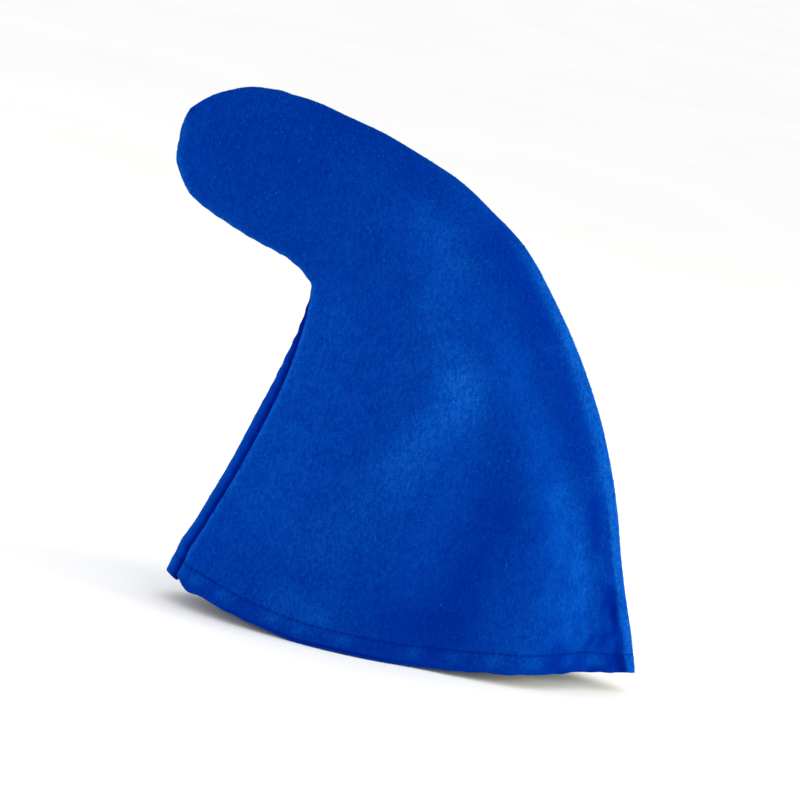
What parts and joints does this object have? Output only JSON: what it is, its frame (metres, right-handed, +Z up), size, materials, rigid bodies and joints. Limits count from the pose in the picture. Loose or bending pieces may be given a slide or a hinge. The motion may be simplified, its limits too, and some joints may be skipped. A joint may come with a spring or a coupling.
{
  "type": "gnome hat",
  "caption": "Plain peaked cap of blue felt that stands on its own rim, with a blunt peak bent forward and a turned-up, stitched hem.",
  "frame": {"origin": "middle of the head opening, on the surface that the hem stands on", "axes": "+Z up through the crown, -X towards the peak, -Y towards the wearer's left side"},
  "size_m": [0.3222, 0.1058, 0.2933],
  "materials": {
    "felt": "matte needled felt with a light nap",
    "thread": "sewing thread"
  },
  "bodies": {
    "root": {"left_panel": "felt", "right_panel": "felt"}
  },
  "joints": []
}
